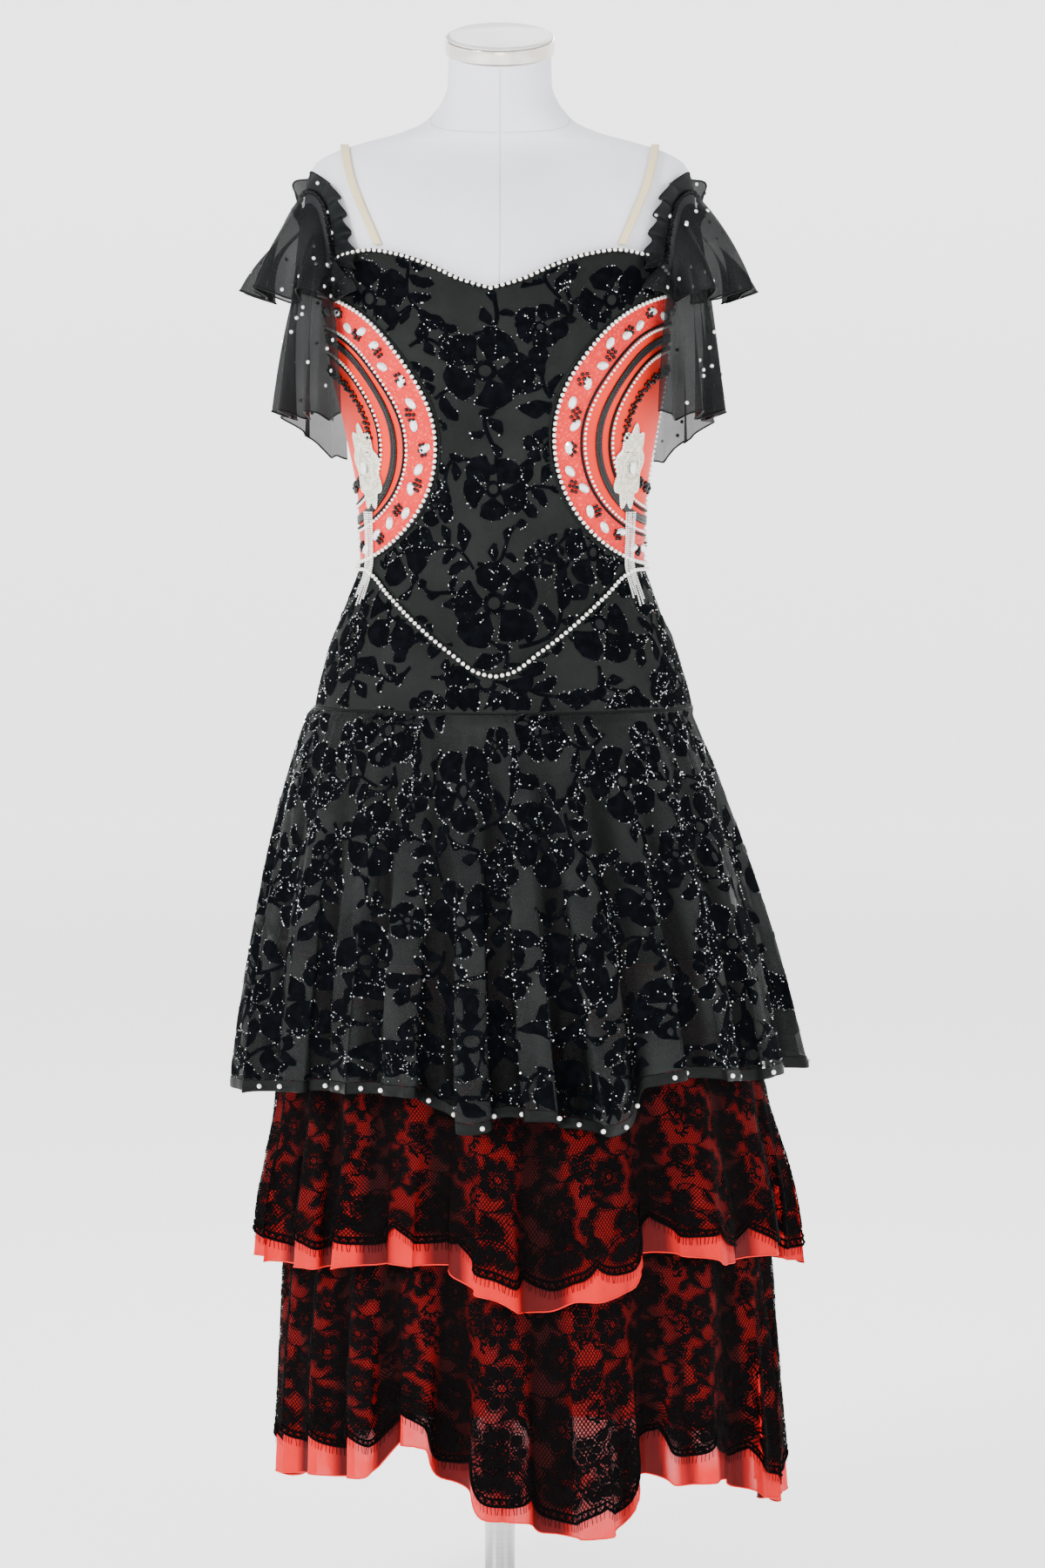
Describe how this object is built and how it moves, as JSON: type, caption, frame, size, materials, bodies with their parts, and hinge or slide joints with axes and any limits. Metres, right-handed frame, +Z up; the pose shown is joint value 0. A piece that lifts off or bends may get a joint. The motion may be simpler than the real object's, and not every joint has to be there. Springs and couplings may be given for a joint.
{
  "type": "flamenco dress on a dress form stand",
  "caption": "Fitted black velvet-flower dress with coral side panels, gathered overskirt and lace flounces over coral chiffon, on a pale limbless dress form with a round base.",
  "frame": {"origin": "on the floor, in the middle of the stand's round base, under the middle of the form's pole", "axes": "+Z up along the pole; the dress faces -Y; +X is the wearer's left, on the right when seen from the front"},
  "size_m": [0.5263, 0.4738, 1.4774],
  "materials": {
    "form_linen": "smooth pale grey linen stretched over a hard form, fine even weave",
    "cap_plate": "light grey satin lacquer",
    "polished_metal": "polished chrome with a warm tint",
    "stand_metal": "brushed and lacquered steel",
    "black_devore": "sheer black ground with cut velvet flowers outlined in silver glitter",
    "coral_sateen": "smooth coral sateen with beaded bands",
    "black_lining": "matt black plain weave",
    "black_satin": "black satin with pearls sewn along it",
    "coral_chiffon": "coral chiffon, matt and slightly crinkled",
    "black_lace": "black floral lace on a fine net, scalloped edge",
    "black_chiffon": "sheer black chiffon with rolled edges and small stones",
    "nude_elastic": "nude woven elastic",
    "silver_beads": "silver lined glass beads and pale stones"
  },
  "bodies": {
    "root": {"form_body": "form_linen", "neck_cap_plate": "cap_plate", "neck_cap_rim": "polished_metal", "stand_base": "stand_metal", "stand_pole": "stand_metal", "bodice_front": "black_devore", "bodice_back_left": "black_devore", "bodice_back_right": "black_devore", "hip_yoke_front": "black_devore", "hip_yoke_back": "black_devore", "overskirt": "black_devore", "bodice_side_left": "coral_sateen", "bodice_side_right": "coral_sateen", "underskirt_front": "black_lining", "underskirt_right": "black_lining", "underskirt_back": "black_lining", "underskirt_left": "black_lining", "overskirt_binding": "black_satin", "upper_flounce_chiffon": "coral_chiffon", "lower_flounce_chiffon_front": "coral_chiffon", "lower_flounce_chiffon_right": "coral_chiffon", "lower_flounce_chiffon_back": "coral_chiffon", "lower_flounce_chiffon_left": "coral_chiffon", "upper_flounce_lace": "black_lace", "lower_flounce_lace": "black_lace", "sleeve_upper_left": "black_chiffon", "sleeve_upper_right": "black_chiffon", "sleeve_lower_left": "black_chiffon", "sleeve_lower_right": "black_chiffon", "sleeve_heading_left": "black_chiffon", "sleeve_heading_right": "black_chiffon", "strap_left": "nude_elastic", "strap_right": "nude_elastic", "brooch_left": "silver_beads", "brooch_right": "silver_beads", "brooch_fringe_left": "silver_beads", "brooch_fringe_right": "silver_beads"}
  },
  "joints": []
}
